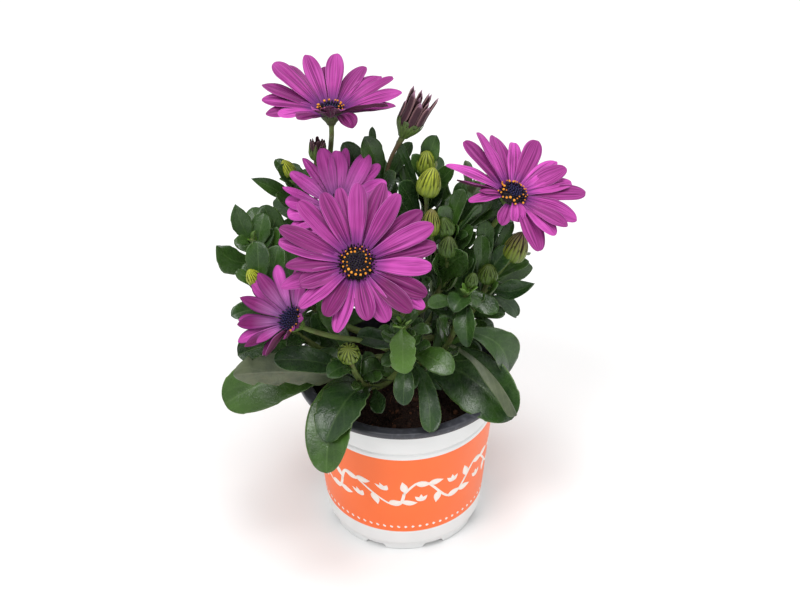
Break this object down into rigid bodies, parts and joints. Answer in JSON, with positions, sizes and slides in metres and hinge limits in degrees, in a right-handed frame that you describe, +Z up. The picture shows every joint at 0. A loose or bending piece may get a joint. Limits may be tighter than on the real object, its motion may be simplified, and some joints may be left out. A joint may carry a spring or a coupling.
{
  "type": "potted osteospermum",
  "caption": "Bushy flowering plant with daisy-like purple blooms, buds and spoon-shaped leaves, growing in soil in a white plastic nursery pot with a dark rim and an orange band.",
  "frame": {"origin": "middle of the pot's underside, on the surface it stands on", "axes": "+Z up along the pot's axis, +X to the right and -Y to the front, where most flowers face"},
  "size_m": [0.1967, 0.1691, 0.2719],
  "materials": {
    "pot_plastic": "thermoformed white sheet with a dark inner layer that shows at the rim, and an orange printed band",
    "peat_soil": "moist crumbly peat substrate, matt",
    "stem": "green herbaceous stem, finely ribbed, turning purple-brown",
    "leaf": "fleshy dark green leaf, satin to glossy, with a pale margin",
    "ray_petal": "silky magenta-purple ray floret with fine darker veins",
    "disc_floret": "tight dark blue-violet florets with orange pollen",
    "bud_green": "yellow-green ribbed bud with darker lines",
    "bud_dark": "rolled dark purple-brown rays in a green cup"
  },
  "bodies": {
    "root": {"pot": "pot_plastic", "soil": "peat_soil", "main_stem": "stem", "flower_front_stalk": "stem", "flower_front_rays": "ray_petal", "flower_front_disc": "disc_floret", "flower_top_stalk": "stem", "flower_top_rays": "ray_petal", "flower_top_disc": "disc_floret", "flower_right_stalk": "stem", "flower_right_rays": "ray_petal", "flower_right_disc": "disc_floret", "flower_back_stalk": "stem", "flower_back_rays": "ray_petal", "flower_back_disc": "disc_floret", "flower_young_stalk": "stem", "flower_young_rays": "ray_petal", "flower_young_disc": "disc_floret", "bud_opening": "bud_dark", "bud_spent": "bud_dark", "bud_left_top": "bud_green", "bud_top": "bud_green", "bud_yellow": "bud_green", "bud_mid_high": "bud_green", "bud_mid": "bud_green", "bud_mid_low": "bud_green", "bud_right": "bud_green", "bud_right_tip": "bud_green", "bud_right_low": "bud_green", "bud_front": "bud_green", "bud_left": "bud_green", "shoot_left_upper": "leaf", "shoot_left_lower": "leaf", "shoot_left_top": "leaf", "shoot_centre_top": "leaf", "shoot_right_top": "leaf", "shoot_right_mid": "leaf", "shoot_right_outer": "leaf", "shoot_right_lower": "leaf", "shoot_front": "leaf", "shoot_front_left": "leaf", "shoot_back": "leaf", "shoot_back_right": "leaf", "leaf_low_left": "leaf", "leaf_low_left_up": "leaf", "leaf_low_left_mid": "leaf", "leaf_left_edge": "leaf", "leaf_front_left": "leaf", "leaf_rim_left": "leaf", "leaf_front_bright": "leaf", "leaf_front_low": "leaf", "leaf_front_long": "leaf", "leaf_low_right": "leaf", "leaf_under_right": "leaf", "leaf_right": "leaf", "leaf_right_mid": "leaf", "leaf_right_hang": "leaf", "leaf_right_fold": "leaf", "leaf_right_edge": "leaf", "leaf_under_flower": "leaf"}
  },
  "joints": []
}
